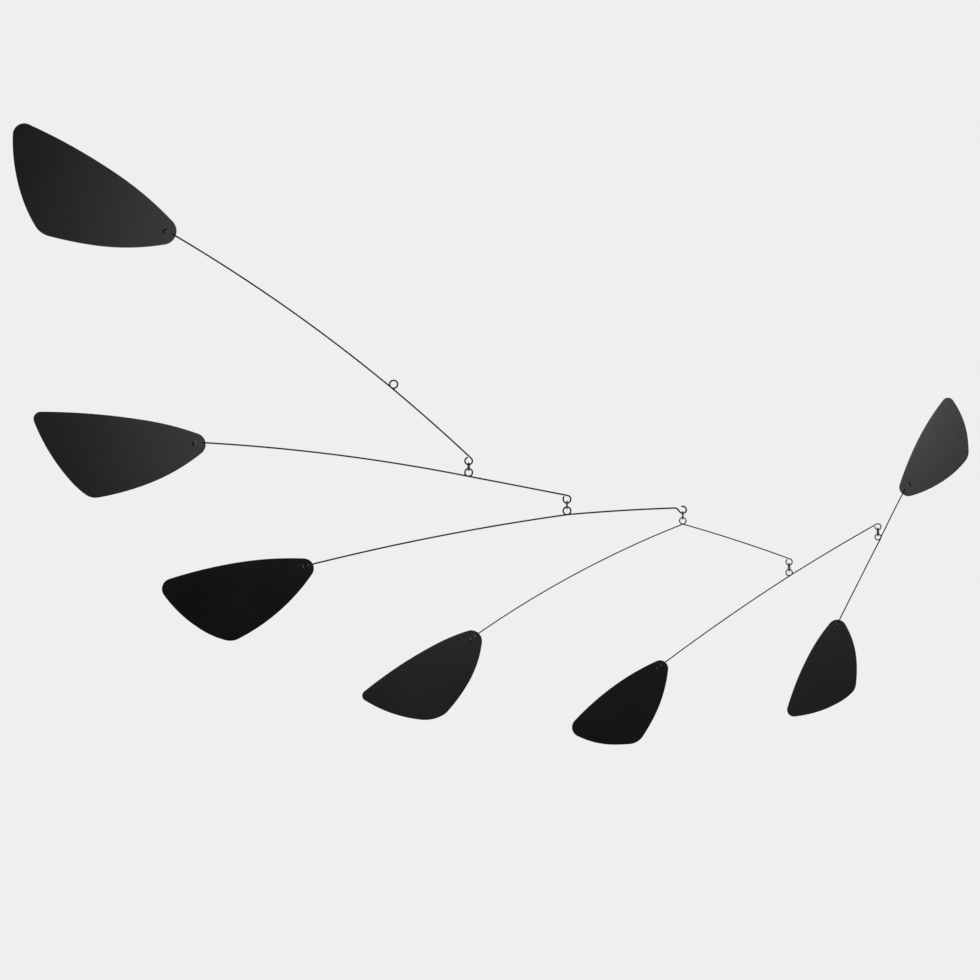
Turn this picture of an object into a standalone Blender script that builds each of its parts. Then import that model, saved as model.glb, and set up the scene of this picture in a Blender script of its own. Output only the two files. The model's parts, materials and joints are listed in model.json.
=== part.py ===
"""Hanging mobile: seven flat leaves on six bent wires, each wire hung from the one above by a ring.

Units are metres and +Z is up.  The wires lie in the XZ plane, with the largest leaf at -X and the
smallest at +X, and the side with the wires' threaded ends faces -Y.  The origin is the point inside
the top of the hanging loop where the support bears, so the whole mobile hangs below it.

Each arm is one length of wire, bent from its own loop outwards: a leaf side, which rises or falls
to a leaf, and a tail side, which ends in an eye, a hook or a second leaf.  An arm's place follows
from the arm above it, through the ring that joins them.
"""

import math
from dataclasses import dataclass

import bmesh
import bpy
from mathutils import Matrix, Vector

# Sheet and wire.
SHEET_THICKNESS = 0.0012
HEAVY_WIRE = 0.0016
LIGHT_WIRE = 0.0012
RING_WIRE = 0.0014
RING_INNER_DIAMETER = 0.0062

# Gap kept between two pieces that rest on each other, and between an eye's end and its wire.
CONTACT_GAP = 0.0003
# Play of a wire in the two holes that it is threaded through.
HOLE_PLAY = 0.0003

# Loops: the wire crosses itself, one pass in front of the other, and comes back into line.
CROSSING_GAP = 0.0004
CROSSING_FADE = 0.015

# Threading of a wire's end through a leaf: distances from the leaf's edge along the wire.
FIRST_HOLE = 0.0045
SECOND_HOLE = 0.0100
THREAD_BEND_EXTRA = 0.0005
TAIL_TURN = 105.0
TAIL_LENGTH = 0.0024
# How far a leaf's tip corner is centred off the wire's line, towards its belly.
TIP_OFFSET = 0.0022

# Facets.
WIRE_BEVEL_RESOLUTION = 2
LOOP_STEPS = 20
EYE_STEPS = 15
RING_STEPS = 16
THREAD_STEPS = 3
HOLE_STEPS = 8
CORNER_STEPS = 8
LONG_EDGE_STEPS = 4
SHORT_EDGE_STEPS = 3
LONG_SIDE_STEPS = 9
TAIL_SIDE_STEPS = 5
# Above 1, the points of a wire's long bend crowd towards its loop, where it comes into line.
CROWDING = 1.6


@dataclass(frozen=True)
class Edge:
    """One bowed edge of a leaf between two of its corner arcs.

    Length joins the two arcs' centres, and bow is how far the edge swells over a straight one.
    Full is where the swell is greatest, as a share of the length from the edge's first corner.
    """

    length: float
    bow: float
    full: float = 0.5


@dataclass(frozen=True)
class Leaf:
    """A flat three-cornered leaf with rounded corners.

    Back is the long upper edge from the tip to the heel, end runs from the heel to the toe, and
    belly from the toe back to the tip.  Tilt is the angle in degrees from the wire's line to the
    back, and twist turns the leaf about the wire's line, out of the arm's plane.  A mirrored leaf
    has its back on the other side of the wire's line.
    """

    back: Edge
    end: Edge
    belly: Edge
    tip_radius: float
    heel_radius: float
    toe_radius: float
    tilt: float
    twist: float = 0.0
    mirrored: bool = False


@dataclass(frozen=True)
class Side:
    """One side of an arm's wire, from the loop outwards: first heading, length and turn in degrees."""

    heading: float
    length: float
    turn: float


@dataclass(frozen=True)
class Eye:
    """An eye turned under the wire's end until it all but closes."""

    radius: float


@dataclass(frozen=True)
class Hook:
    """An open hook at the wire's end: it dips, then curls up and back over itself."""

    dip_turn: float
    dip_radius: float
    drop_length: float
    radius: float
    curl: float


@dataclass(frozen=True)
class Arm:
    """One arm: its wire's gauge, its loop, its two sides and what is on the end of each.

    Ring turn is how far the ring in its tail has turned from square to the arm, in degrees.
    """

    gauge: float
    loop_radius: float
    leaf_side: Side
    leaf: Leaf
    tail_side: Side
    tail: Eye | Hook | Leaf
    ring_turn: float = 0.0


ARMS = (
    Arm(
        gauge=HEAVY_WIRE,
        loop_radius=0.0040,
        leaf_side=Side(heading=140.4, length=0.26395, turn=9.0),
        leaf=Leaf(
            back=Edge(0.1689, 0.0079, 0.39),
            end=Edge(0.0858, 0.0047, 0.75),
            belly=Edge(0.1095, 0.0055, 0.38),
            tip_radius=0.0138,
            heel_radius=0.0114,
            toe_radius=0.0222,
            tilt=4.2,
            twist=1.0,
        ),
        tail_side=Side(heading=-39.9, length=0.1070, turn=-3.2),
        tail=Eye(0.0037),
        ring_turn=10.0,
    ),
    Arm(
        gauge=HEAVY_WIRE,
        loop_radius=0.0038,
        leaf_side=Side(heading=168.8, length=0.2649, turn=7.9),
        leaf=Leaf(
            back=Edge(0.1557, 0.0058, 0.32),
            end=Edge(0.0825, 0.0037, 0.80),
            belly=Edge(0.1053, 0.0065, 0.43),
            tip_radius=0.0114,
            heel_radius=0.0073,
            toe_radius=0.0172,
            tilt=6.1,
        ),
        tail_side=Side(heading=-10.8, length=0.1016, turn=-0.3),
        tail=Eye(0.0038),
        ring_turn=2.0,
    ),
    Arm(
        gauge=HEAVY_WIRE,
        loop_radius=0.0038,
        leaf_side=Side(heading=188.0, length=0.2597, turn=6.0),
        leaf=Leaf(
            back=Edge(0.1327, 0.0059, 0.47),
            end=Edge(0.0667, 0.0048, 0.72),
            belly=Edge(0.0923, 0.0051, 0.33),
            tip_radius=0.0101,
            heel_radius=0.0107,
            toe_radius=0.0179,
            tilt=5.1,
            twist=-5.0,
        ),
        tail_side=Side(heading=5.1, length=0.1079, turn=-3.2),
        tail=Hook(dip_turn=50.0, dip_radius=0.0030, drop_length=0.0042, radius=0.0035, curl=253.0),
        ring_turn=-3.0,
    ),
    Arm(
        gauge=LIGHT_WIRE,
        loop_radius=0.0032,
        leaf_side=Side(heading=201.5, length=0.2332, turn=13.2),
        leaf=Leaf(
            back=Edge(0.1171, 0.0045, 0.28),
            end=Edge(0.0696, 0.0063, 0.80),
            belly=Edge(0.0707, 0.0056),
            tip_radius=0.0109,
            heel_radius=0.0055,
            toe_radius=0.0137,
            tilt=6.9,
            twist=1.5,
        ),
        tail_side=Side(heading=-15.8, length=0.1139, turn=-4.4),
        tail=Eye(0.0031),
    ),
    Arm(
        gauge=LIGHT_WIRE,
        loop_radius=0.0031,
        leaf_side=Side(heading=212.7, length=0.1528, turn=4.1),
        leaf=Leaf(
            back=Edge(0.0979, 0.0049, 0.52),
            end=Edge(0.0469, 0.0026, 0.72),
            belly=Edge(0.0665, 0.0030, 0.25),
            tip_radius=0.0083,
            heel_radius=0.0098,
            toe_radius=0.0175,
            tilt=-0.1,
            twist=-4.0,
        ),
        tail_side=Side(heading=32.1, length=0.0998, turn=-2.7),
        tail=Eye(0.0030),
        ring_turn=-3.0,
    ),
    Arm(
        gauge=LIGHT_WIRE,
        loop_radius=0.0029,
        leaf_side=Side(heading=243.0, length=0.0913, turn=0.5),
        leaf=Leaf(
            back=Edge(0.0922, 0.0045, 0.37),
            end=Edge(0.0549, 0.0030, 0.80),
            belly=Edge(0.0538, 0.0043, 0.40),
            tip_radius=0.0092,
            heel_radius=0.0066,
            toe_radius=0.0149,
            tilt=1.7,
            twist=1.0,
        ),
        tail_side=Side(heading=65.0, length=0.0495, turn=-2.7),
        tail=Leaf(
            back=Edge(0.0925, 0.0039, 0.44),
            end=Edge(0.0482, 0.0025, 0.78),
            belly=Edge(0.0569, 0.0037, 0.29),
            tip_radius=0.0091,
            heel_radius=0.0059,
            toe_radius=0.0154,
            tilt=2.4,
            twist=-4.0,
            mirrored=True,
        ),
    ),
)


def clear_scene():
    """Remove every object, so that the file holds the mobile alone."""
    for existing in list(bpy.data.objects):
        bpy.data.objects.remove(existing, do_unlink=True)


def make_material(name, colour, roughness, metallic):
    """A Principled material with one colour all over."""
    material = bpy.data.materials.new(name)
    material.use_nodes = True
    shader = material.node_tree.nodes["Principled BSDF"]
    shader.inputs["Base Color"].default_value = (*colour, 1.0)
    shader.inputs["Roughness"].default_value = roughness
    shader.inputs["Metallic"].default_value = metallic
    return material


def direction(degrees):
    """The unit vector of a heading in a plane."""
    return Vector((math.cos(math.radians(degrees)), math.sin(math.radians(degrees))))


def arc(centre, radius, start, end, steps):
    """Points on a circular arc in a plane, both ends included, with angles in degrees."""
    return [centre + radius * direction(start + (end - start) * i / steps) for i in range(steps + 1)]


def run(start, heading, length, turn, steps, crowding=1.0):
    """Points along a wire that leaves start on a heading and turns evenly over its length."""
    points = []
    for i in range(steps + 1):
        distance = length * (i / steps) ** crowding
        half_turn = 0.5 * turn * distance / length
        sweep = math.radians(half_turn)
        chord = distance if abs(sweep) < 1e-9 else distance * math.sin(sweep) / sweep
        points.append(start + chord * direction(heading + half_turn))
    return points


def in_front(points, depth=0.0):
    """Planar points of an arm as points in space, at one depth."""
    return [Vector((point.x, depth, point.y)) for point in points]


def measured(points):
    """The distance of each point along the line from the first."""
    distances = [0.0]
    for before, after in zip(points, points[1:]):
        distances.append(distances[-1] + (after - before).length)
    return distances


def loop_with_sides(arm):
    """An arm's wire without its ends: leaf side, loop and tail side, with the crossing spread out.

    The loop's centre is the arm's own origin.  Returns the leaf side, the loop and the tail side,
    each as points in space from the loop outwards, and the loop from leaf side to tail side.
    """
    first_angle = arm.leaf_side.heading + 90.0 - 360.0
    last_angle = arm.tail_side.heading - 90.0 + 360.0
    ring = arc(Vector((0.0, 0.0)), arm.loop_radius, first_angle, last_angle, LOOP_STEPS)
    offset = 0.5 * (arm.gauge + CROSSING_GAP)
    turns = in_front(ring)
    for i, point in enumerate(turns):
        point.y = offset * (2.0 * i / LOOP_STEPS - 1.0)
    sides = []
    for side, start, depth in ((arm.leaf_side, ring[0], -offset), (arm.tail_side, ring[-1], offset)):
        steps = LONG_SIDE_STEPS if side is arm.leaf_side else TAIL_SIDE_STEPS
        points = in_front(run(start, side.heading, side.length, side.turn, steps, CROWDING))
        for point, distance in zip(points, measured(points)):
            spread = min(distance / CROSSING_FADE, 1.0)
            point.y = depth * 0.5 * (1.0 + math.cos(math.pi * spread))
        sides.append(points)
    return sides[0], turns, sides[1]


def side_end(arm, side):
    """Where a side of an arm ends in the arm's plane, and the wire's heading there."""
    start_angle = side.heading + 90.0 if side is arm.leaf_side else side.heading - 90.0
    start = arm.loop_radius * direction(start_angle)
    end = run(start, side.heading, side.length, side.turn, 1)[-1]
    return end, side.heading + side.turn


def eye_centre(arm):
    """The centre of the eye under an arm's tail, in the arm's plane."""
    end, heading = side_end(arm, arm.tail_side)
    return end + arm.tail.radius * direction(heading - 90.0)


def eye_turn(arm):
    """How far round an eye turns, for its cut end to stop just short of the wire it came from."""
    inside = arm.tail.radius - 0.5 * arm.gauge - CONTACT_GAP
    outside = arm.tail.radius + 0.5 * arm.gauge
    return 360.0 - math.degrees(math.acos(inside / outside))


def eye_points(arm):
    """The eye of an arm's tail: a clockwise turn from where the side ends."""
    heading = arm.tail_side.heading + arm.tail_side.turn
    start = heading + 90.0
    return arc(eye_centre(arm), arm.tail.radius, start, start - eye_turn(arm), EYE_STEPS)[1:]


def hook_stages(arm):
    """The hook's three stretches in the arm's plane, dip, drop and curl, and the curl's centre."""
    hook = arm.tail
    end, heading = side_end(arm, arm.tail_side)
    dip_centre = end + hook.dip_radius * direction(heading - 90.0)
    dip = arc(dip_centre, hook.dip_radius, heading + 90.0, heading + 90.0 - hook.dip_turn, 3)[1:]
    down = heading - hook.dip_turn
    drop = [dip[-1] + hook.drop_length * direction(down)]
    curl_centre = drop[-1] + hook.radius * direction(down + 90.0)
    start = down - 90.0
    curl = arc(curl_centre, hook.radius, start, start + hook.curl, EYE_STEPS)[1:]
    return dip + drop + curl, curl_centre


def bearing_point(arm):
    """The lowest point of the wire's centre line in an arm's eye or hook, where its ring hangs."""
    if isinstance(arm.tail, Eye):
        centre = eye_centre(arm)
    else:
        centre = hook_stages(arm)[1]
    return centre - Vector((0.0, arm.tail.radius))


def ring_radius():
    """The radius of a link ring's centre line."""
    return 0.5 * (RING_INNER_DIAMETER + RING_WIRE)


def ring_offset(arm):
    """From an arm's origin to the centre of the ring that hangs in its tail, in the arm's plane."""
    rise = 0.5 * (arm.gauge + RING_WIRE) + CONTACT_GAP
    return bearing_point(arm) + Vector((0.0, rise - ring_radius()))


def next_origin(arm, lower):
    """From an arm's origin to the loop of the arm below, which hangs in the same ring."""
    rise = 0.5 * (lower.gauge + RING_WIRE) + CONTACT_GAP
    return ring_offset(arm) + Vector((0.0, rise - ring_radius() - lower.loop_radius))


def thread_depth(gauge):
    """How far the wire's runs in front of a leaf and behind it are apart."""
    return SHEET_THICKNESS + gauge + 2.0 * CONTACT_GAP


def handed(leaf, points):
    """Points of an unmirrored leaf's frame, moved to the other side of the wire's line if need be."""
    if not leaf.mirrored:
        return points
    moved = [point.copy() for point in points]
    for point in moved:
        point.y = -point.y
    return moved


def threaded_end(gauge):
    """A wire's end in an unmirrored leaf, in the leaf's own frame: X along the wire from the leaf's
    edge, Y towards the leaf's back, Z away from the side that shows the wire's end.
    """
    bend = 0.5 * gauge + THREAD_BEND_EXTRA
    depth = thread_depth(gauge)
    down = arc(Vector((FIRST_HOLE - bend, bend)), bend, -90.0, 0.0, THREAD_STEPS)
    level = arc(Vector((FIRST_HOLE + bend, depth - bend)), bend, 180.0, 90.0, THREAD_STEPS)
    lift = arc(Vector((SECOND_HOLE - bend, depth - bend)), bend, 90.0, 0.0, THREAD_STEPS)
    out = arc(Vector((SECOND_HOLE + bend, bend)), bend, 180.0, 270.0, THREAD_STEPS)
    points = [Vector((point.x, 0.0, point.y)) for point in down + level + lift + out]
    tail_centre = Vector((SECOND_HOLE + bend, -bend))
    tail = arc(tail_centre, bend, 90.0, 90.0 - TAIL_TURN, THREAD_STEPS)[1:]
    tail.append(tail[-1] + TAIL_LENGTH * direction(-TAIL_TURN))
    return points + [Vector((point.x, point.y, 0.0)) for point in tail]


def leaf_frame(arm, side, leaf):
    """The matrix from a leaf's own frame to its arm's: X along the wire, Y across it, Z behind."""
    end, heading = side_end(arm, side)
    along = Vector((direction(heading).x, 0.0, direction(heading).y))
    behind = Vector((0.0, 1.0, 0.0))
    turned = Matrix((along, behind.cross(along), behind)).transposed().to_4x4()
    twist = Matrix.Rotation(math.radians(leaf.twist), 4, "X")
    return Matrix.Translation((end.x, 0.0, end.y)) @ turned @ twist


def leaf_corners(leaf):
    """The centres of an unmirrored leaf's tip, heel and toe corners in its frame."""
    reach = math.sqrt(leaf.tip_radius**2 - TIP_OFFSET**2)
    tip = Vector((reach, -TIP_OFFSET))
    back, end, belly = leaf.back.length, leaf.end.length, leaf.belly.length
    apex = math.degrees(math.acos((back**2 + belly**2 - end**2) / (2.0 * back * belly)))
    heel = tip + back * direction(leaf.tilt)
    toe = tip + belly * direction(leaf.tilt - apex)
    return tip, heel, toe


def edge_arcs(edge, start, end, start_radius, end_radius):
    """The two arcs of an edge between corner arcs centred on start and end.

    They meet where the edge is fullest, both running parallel to the line of the corner centres
    there, and each touches its own corner arc.  Returns the meeting point and the two centres.
    """
    chord = end - start
    unit = chord.normalized()
    outward = Vector((-unit.y, unit.x))
    swell = edge.bow + start_radius + edge.full * (end_radius - start_radius)
    fullest = start + edge.full * chord + swell * outward
    centres = []
    for share, corner_radius in ((edge.full, start_radius), (1.0 - edge.full, end_radius)):
        reach = share * chord.length
        radius = (reach**2 + swell**2 - corner_radius**2) / (2.0 * (swell - corner_radius))
        centres.append(fullest - radius * outward)
    return fullest, centres[0], centres[1]


def angle_of(vector):
    """A planar vector's heading in degrees."""
    return math.degrees(math.atan2(vector.y, vector.x))


def clockwise_arc(centre, start, end, steps):
    """Points on an arc that runs clockwise from start towards end, without its last point.

    Start lies on the arc, and end on the line from the arc's centre through its last point.
    """
    first = angle_of(start - centre)
    sweep = (first - angle_of(end - centre)) % 360.0
    return arc(centre, (start - centre).length, first, first - sweep, steps)[:-1]


def corner_end(centre, radius, edge_centre):
    """The point where a corner arc passes into the edge arc with a given centre."""
    return centre + radius * (centre - edge_centre).normalized()


def leaf_outline(leaf):
    """An unmirrored leaf's outline in its frame: clockwise round its tip, heel and toe corners."""
    corners = leaf_corners(leaf)
    radii = (leaf.tip_radius, leaf.heel_radius, leaf.toe_radius)
    steps = (LONG_EDGE_STEPS, SHORT_EDGE_STEPS, SHORT_EDGE_STEPS)
    edges = []
    for i, edge in enumerate((leaf.back, leaf.end, leaf.belly)):
        j = (i + 1) % 3
        edges.append(edge_arcs(edge, corners[i], corners[j], radii[i], radii[j]))
    outline = []
    for i in range(3):
        j = (i + 1) % 3
        fullest, first_centre, second_centre = edges[i]
        arrive = corner_end(corners[i], radii[i], edges[i - 1][2])
        leave = corner_end(corners[i], radii[i], first_centre)
        finish = corner_end(corners[j], radii[j], second_centre)
        outline += clockwise_arc(corners[i], arrive, leave, CORNER_STEPS)
        outline += clockwise_arc(first_centre, leave, fullest, steps[i])
        outline += clockwise_arc(second_centre, fullest, finish, steps[i])
    return outline


def add_ring_of_edges(mesh, points):
    """Add a closed line of edges through planar points."""
    vertices = [mesh.verts.new((point.x, point.y, 0.0)) for point in points]
    for first, second in zip(vertices, vertices[1:] + vertices[:1]):
        mesh.edges.new((first, second))


def place(item, parent, matrix, material):
    """Link an object, hang it from its arm's pivot and give it its material."""
    bpy.context.scene.collection.objects.link(item)
    item.parent = parent
    item.matrix_local = matrix
    item.data.materials.append(material)
    return item


def make_leaf(name, leaf, gauge, parent, matrix, material):
    """A leaf: its outline and the wire's two holes filled as a sheet and given its thickness."""
    mesh = bmesh.new()
    add_ring_of_edges(mesh, handed(leaf, leaf_outline(leaf)))
    hole_radius = 0.5 * gauge + HOLE_PLAY
    for distance in (FIRST_HOLE, SECOND_HOLE):
        centre = Vector((distance, 0.0))
        add_ring_of_edges(mesh, arc(centre, hole_radius, 0.0, 360.0, HOLE_STEPS)[:-1])
    bmesh.ops.triangle_fill(mesh, use_beauty=True, edges=mesh.edges[:], normal=(0.0, 0.0, 1.0))
    front = 0.5 * (thread_depth(gauge) - SHEET_THICKNESS)
    bmesh.ops.translate(mesh, verts=mesh.verts[:], vec=(0.0, 0.0, front))
    raised = bmesh.ops.extrude_face_region(mesh, geom=mesh.faces[:])["geom"]
    moved = [element for element in raised if isinstance(element, bmesh.types.BMVert)]
    bmesh.ops.translate(mesh, verts=moved, vec=(0.0, 0.0, SHEET_THICKNESS))
    bmesh.ops.recalc_face_normals(mesh, faces=mesh.faces[:])
    data = bpy.data.meshes.new(name)
    mesh.to_mesh(data)
    mesh.free()
    return place(bpy.data.objects.new(name, data), parent, matrix, material)


def make_tube(name, points, gauge, closed, parent, material):
    """Round wire along a line of points, with flat cut ends unless it is closed."""
    curve = bpy.data.curves.new(name, "CURVE")
    curve.dimensions = "3D"
    curve.bevel_depth = 0.5 * gauge
    curve.bevel_resolution = WIRE_BEVEL_RESOLUTION
    curve.use_fill_caps = not closed
    line = curve.splines.new("POLY")
    line.points.add(len(points) - 1)
    for knot, point in zip(line.points, points):
        knot.co = (*point, 1.0)
    line.use_cyclic_u = closed
    line.use_smooth = True
    return place(bpy.data.objects.new(name, curve), parent, Matrix.Identity(4), material)


def wire_points(arm):
    """All points of an arm's wire, from the end in its leaf to the end of its tail."""
    leaf_side, loop, tail_side = loop_with_sides(arm)
    frame = leaf_frame(arm, arm.leaf_side, arm.leaf)
    threaded = [frame @ point for point in handed(arm.leaf, threaded_end(arm.gauge))]
    if isinstance(arm.tail, Leaf):
        tail_frame = leaf_frame(arm, arm.tail_side, arm.tail)
        tail = [tail_frame @ point for point in handed(arm.tail, threaded_end(arm.gauge))]
    elif isinstance(arm.tail, Eye):
        tail = in_front(eye_points(arm))
    else:
        tail = in_front(hook_stages(arm)[0])
    return threaded[::-1] + leaf_side[:0:-1] + loop + tail_side[1:] + tail


def make_ring(name, centre, turn, parent, material):
    """A link ring with its centre in the arm's plane, turned about the vertical from edge on."""
    across = Matrix.Rotation(math.radians(turn), 2) @ Vector((0.0, 1.0))
    circle = arc(Vector((0.0, 0.0)), ring_radius(), 0.0, 360.0, RING_STEPS)[:-1]
    points = []
    for point in circle:
        aside = point.x * across
        points.append(Vector((centre.x + aside.x, aside.y, centre.y + point.y)))
    return make_tube(name, points, RING_WIRE, True, parent, material)


def make_pivot(number, parent, offset):
    """The empty on the vertical axis through an arm's loop, about which the arm swivels."""
    pivot = bpy.data.objects.new(f"arm_{number}_pivot", None)
    bpy.context.scene.collection.objects.link(pivot)
    pivot.empty_display_size = 0.01
    pivot.parent = parent
    pivot.location = (offset.x, 0.0, offset.y)
    return pivot


def build():
    """Build the mobile from its top arm down."""
    clear_scene()
    black = make_material("satin_black_sheet", (0.012, 0.012, 0.013), 0.38, 0.0)
    steel = make_material("spring_steel_wire", (0.16, 0.16, 0.17), 0.35, 1.0)
    bright = make_material("link_ring_steel", (0.10, 0.10, 0.11), 0.32, 1.0)
    top = ARMS[0]
    offset = Vector((0.0, 0.5 * top.gauge - top.loop_radius))
    pivot = None
    for number, arm in enumerate(ARMS, start=1):
        pivot = make_pivot(number, pivot, offset)
        frame = leaf_frame(arm, arm.leaf_side, arm.leaf)
        make_tube(f"arm_wire_{number}", wire_points(arm), arm.gauge, False, pivot, steel)
        make_leaf(f"leaf_{number}", arm.leaf, arm.gauge, pivot, frame, black)
        if number < len(ARMS):
            make_ring(f"link_ring_{number}", ring_offset(arm), arm.ring_turn, pivot, bright)
            offset = next_origin(arm, ARMS[number])
        else:
            frame = leaf_frame(arm, arm.tail_side, arm.tail)
            make_leaf(f"leaf_{number + 1}", arm.tail, arm.gauge, pivot, frame, black)


build()
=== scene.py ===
"""Finished looks of the hanging mobile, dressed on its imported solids.

Seven satin black leaves hang on six bent spring-steel wires, and five small split rings join each
arm to the one above.  Units are metres and +Z is up, in the same frame as the solids: the origin
is where the support bears inside the top arm's loop, and the leaves' fronts face -Y.
"""

import json
import logging
import math
from dataclasses import dataclass
from enum import Enum
from functools import partial, reduce
from typing import Any, Sequence

import bmesh
import bpy
from bpy.types import ID, Material, Mesh, Node, NodeSocket, NodeTree, Object
from mathutils import Matrix, Vector


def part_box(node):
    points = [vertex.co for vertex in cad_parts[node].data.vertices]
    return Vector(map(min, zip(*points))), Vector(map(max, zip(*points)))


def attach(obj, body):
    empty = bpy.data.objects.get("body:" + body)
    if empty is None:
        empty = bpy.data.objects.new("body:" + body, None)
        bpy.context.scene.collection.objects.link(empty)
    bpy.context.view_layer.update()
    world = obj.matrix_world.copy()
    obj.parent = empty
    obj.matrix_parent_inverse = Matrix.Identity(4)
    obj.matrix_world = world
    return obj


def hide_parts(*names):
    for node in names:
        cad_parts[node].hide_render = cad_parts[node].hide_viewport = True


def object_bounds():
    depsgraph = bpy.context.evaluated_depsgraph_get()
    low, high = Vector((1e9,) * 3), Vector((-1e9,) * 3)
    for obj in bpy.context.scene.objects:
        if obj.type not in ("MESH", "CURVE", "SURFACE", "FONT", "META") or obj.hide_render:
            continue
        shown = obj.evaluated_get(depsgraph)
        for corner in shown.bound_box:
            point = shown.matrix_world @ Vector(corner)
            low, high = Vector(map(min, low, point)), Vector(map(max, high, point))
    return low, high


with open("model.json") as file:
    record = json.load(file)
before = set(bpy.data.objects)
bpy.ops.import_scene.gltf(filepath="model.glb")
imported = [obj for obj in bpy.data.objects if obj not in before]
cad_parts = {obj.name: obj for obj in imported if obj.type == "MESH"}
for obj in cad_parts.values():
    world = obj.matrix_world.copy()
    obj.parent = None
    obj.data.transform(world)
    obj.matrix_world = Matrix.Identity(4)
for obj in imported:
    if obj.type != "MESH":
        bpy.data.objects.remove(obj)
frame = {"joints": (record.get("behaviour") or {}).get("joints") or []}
SOLIDS_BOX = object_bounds()

log = logging.getLogger("hanging_mobile")

# A wire that turns by less than this, in radians, is taken as straight.
STRAIGHT = 1e-9


# ---- Sizes ----


@dataclass(frozen=True)
class Stock:
    """Sheet and wire sizes, and the gaps kept between pieces that rest on each other.

    Hole play is the gap round a wire in a leaf's hole.  Crossing gap is the gap between a loop's
    two passes, and crossing fade the length over which the wire comes back into line after it.
    """

    sheet: float = 0.0012
    ring_wire: float = 0.0014
    ring_bore: float = 0.0062
    contact_gap: float = 0.0003
    hole_play: float = 0.0002
    crossing_gap: float = 0.0004
    crossing_fade: float = 0.015


class Gauge(Enum):
    """Diameters of the spring wire that the arms are bent from."""

    HEAVY = 0.0016
    LIGHT = 0.0012


class Hand(Enum):
    """The side of the wire's line on which a leaf has its back."""

    AS_CUT = 1.0
    TURNED_OVER = -1.0


@dataclass(frozen=True)
class Thread:
    """How a wire's end is threaded through a leaf, measured from the leaf's edge along the wire.

    Bend extra is each bend's radius on its inside.  Tail turn, in degrees, and tail length are
    those of the end that is turned over on the front.  Tip offset is how far to one side of the
    tip corner's centre the wire passes.
    """

    first_hole: float = 0.0045
    second_hole: float = 0.0100
    bend_extra: float = 0.0005
    tail_turn: float = 105.0
    tail_length: float = 0.0024
    tip_offset: float = 0.0022


@dataclass(frozen=True)
class Edge:
    """One bowed edge of a leaf between two of its corner arcs.

    Length joins the two arcs' centres, and bow is how far the edge swells over a straight one.
    Full is where the swell is greatest, as a share of the length from the edge's first corner.
    """

    length: float
    bow: float
    full: float = 0.5


@dataclass(frozen=True)
class Leaf:
    """A flat three-cornered leaf with rounded corners.

    Back is the long upper edge from the tip to the heel, end runs from the heel to the toe, and
    belly from the toe back to the tip.  Radii are those of the tip, heel and toe corners.  Tilt is
    the angle in degrees from the wire's line to the back, and twist turns the leaf about the
    wire's line, out of the arm's plane.
    """

    back: Edge
    end: Edge
    belly: Edge
    radii: tuple[float, float, float]
    tilt: float
    twist: float = 0.0
    hand: Hand = Hand.AS_CUT


@dataclass(frozen=True)
class Side:
    """One side of an arm's wire, from its loop outwards.

    Heading is the wire's first one, and turn how far it bends over its length, both in degrees.
    """

    heading: float
    length: float
    turn: float


@dataclass(frozen=True)
class Eye:
    """An eye turned under the wire's end until it all but closes."""

    radius: float


@dataclass(frozen=True)
class Hook:
    """An open hook at the wire's end: it dips, then curls up and back over itself.

    Dip turn and curl are in degrees.
    """

    dip_turn: float = 50.0
    dip_radius: float = 0.0030
    drop_length: float = 0.0042
    radius: float = 0.0035
    curl: float = 253.0


@dataclass(frozen=True)
class ArmSizes:
    """One arm: its wire's gauge, its loop, its two sides and what is on the end of each.

    Loop radius, like an eye's or a hook's, is that of the wire's centre line.  Ring turn is how
    far the ring in its tail has turned from square to the arm, in degrees.
    """

    gauge: Gauge
    loop_radius: float
    leaf_side: Side
    leaf: Leaf
    tail_side: Side
    tail: Eye | Hook | Leaf
    ring_turn: float = 0.0


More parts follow.
